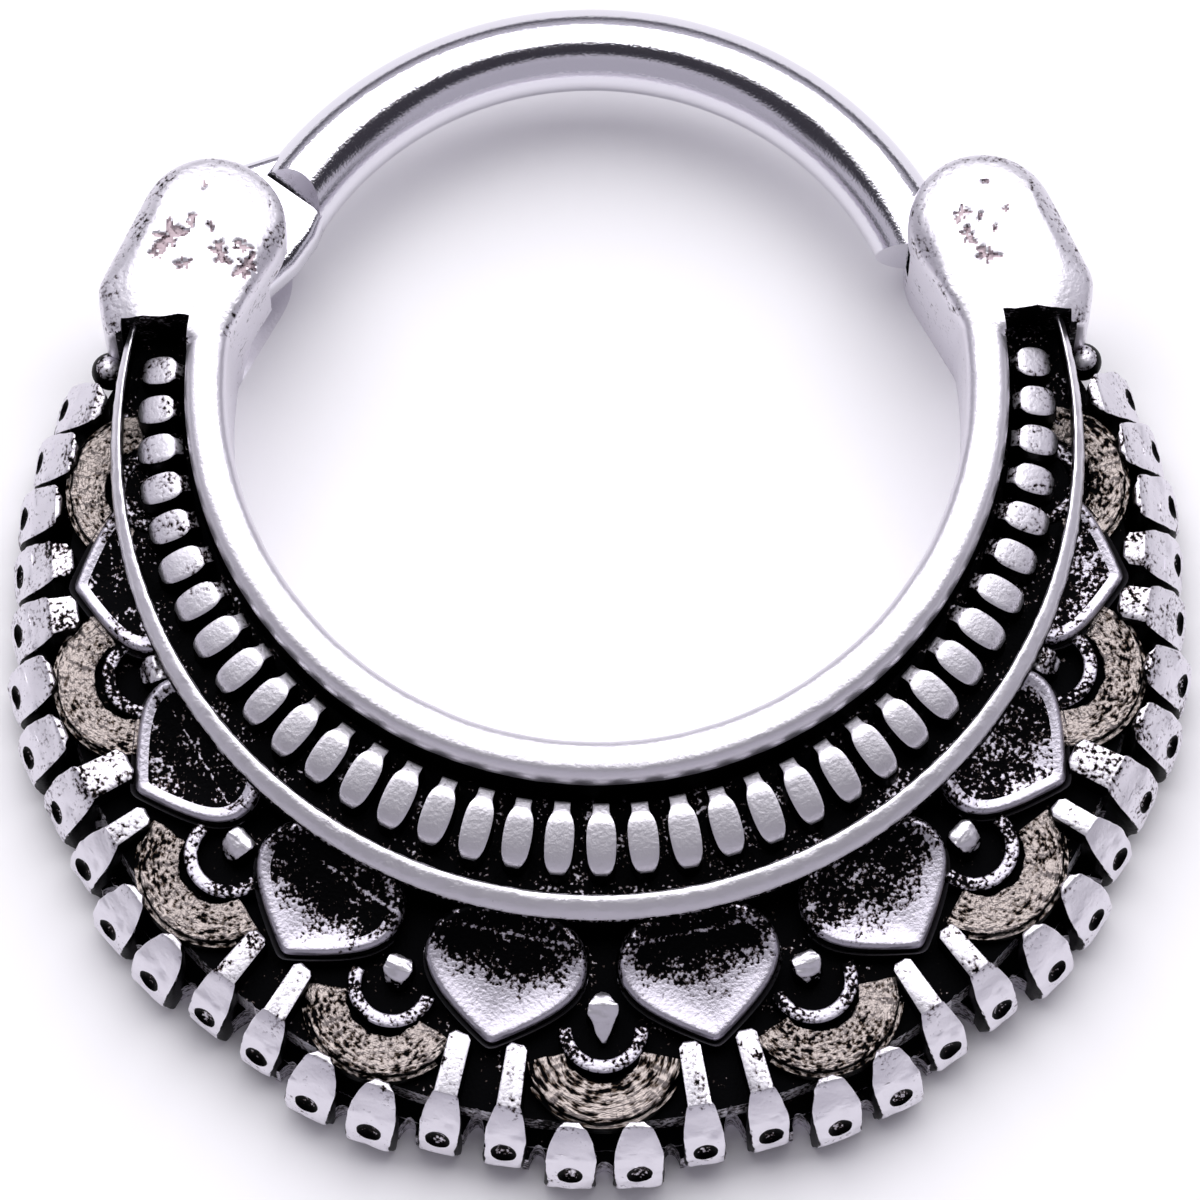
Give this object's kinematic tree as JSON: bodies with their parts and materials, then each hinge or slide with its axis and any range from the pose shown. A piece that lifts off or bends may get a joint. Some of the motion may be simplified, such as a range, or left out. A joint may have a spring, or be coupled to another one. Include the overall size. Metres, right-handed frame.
{
  "type": "septum ring",
  "caption": "Hinged septum ring: a flat-backed crescent casting with raised hearts, drops and edge prongs, closed by a plain round steel bar that swings open.",
  "frame": {"origin": "on the flat back, under the middle of the ring's outline", "axes": "+Z out of the decorated face, +Y from the fan towards the bar, +X to the right of the face with the hinge at -X"},
  "size_m": [0.017, 0.0174, 0.0029],
  "materials": {
    "antiqued_silver_plate": "silver plated, blackened in the recesses, rubbed bright on the relief",
    "surgical_steel": "polished"
  },
  "bodies": {
    "casting": {"fan_casting": "antiqued_silver_plate", "hinge_pin": "surgical_steel"},
    "bar": {"clicker_bar": "surgical_steel"}
  },
  "joints": [
    {"name": "bar_hinge", "type": "hinge", "parent": "casting", "child": "bar", "pos_m": [-0.0055, 0.00509, 0.00135], "axis": [0, 0, 1], "range_deg": [0, 100]}
  ]
}
